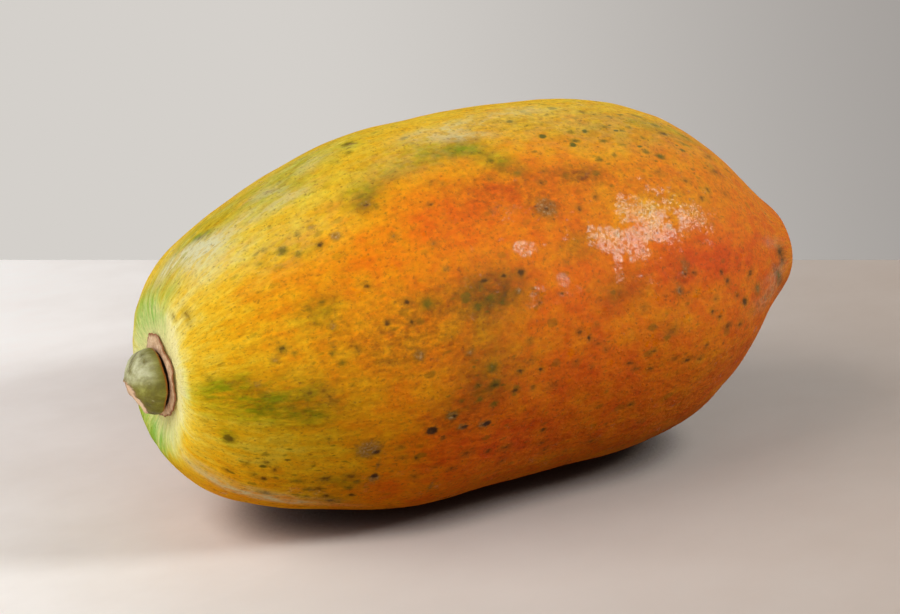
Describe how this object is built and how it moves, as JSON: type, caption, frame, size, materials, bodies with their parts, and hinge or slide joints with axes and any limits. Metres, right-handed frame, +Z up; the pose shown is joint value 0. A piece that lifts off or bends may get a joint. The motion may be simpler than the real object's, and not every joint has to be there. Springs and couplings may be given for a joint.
{
  "type": "papaya",
  "caption": "Large ripe papaya lying on its side, long lobed body tapering to a blunt blossom tip, with a short cut stub of stalk in a dry calyx ring.",
  "frame": {"origin": "on the surface that the fruit lies on, under the middle of its bounding box", "axes": "+X along the fruit from the stalk to the blossom tip, +Z up, the flat resting spot facing -Z"},
  "size_m": [0.2762, 0.1386, 0.1383],
  "materials": {
    "skin": "smooth waxy fruit skin, orange with yellow and green patches, fine specks and small scars, softly glossy",
    "calyx": "dry corky ring, pinkish tan with ragged reddish brown edges, matt",
    "stalk": "green woody stalk with a faint whitish bloom and a ragged cream cut face"
  },
  "bodies": {
    "root": {"fruit": "skin", "calyx_ring": "calyx", "stalk_stub": "stalk"}
  },
  "joints": []
}
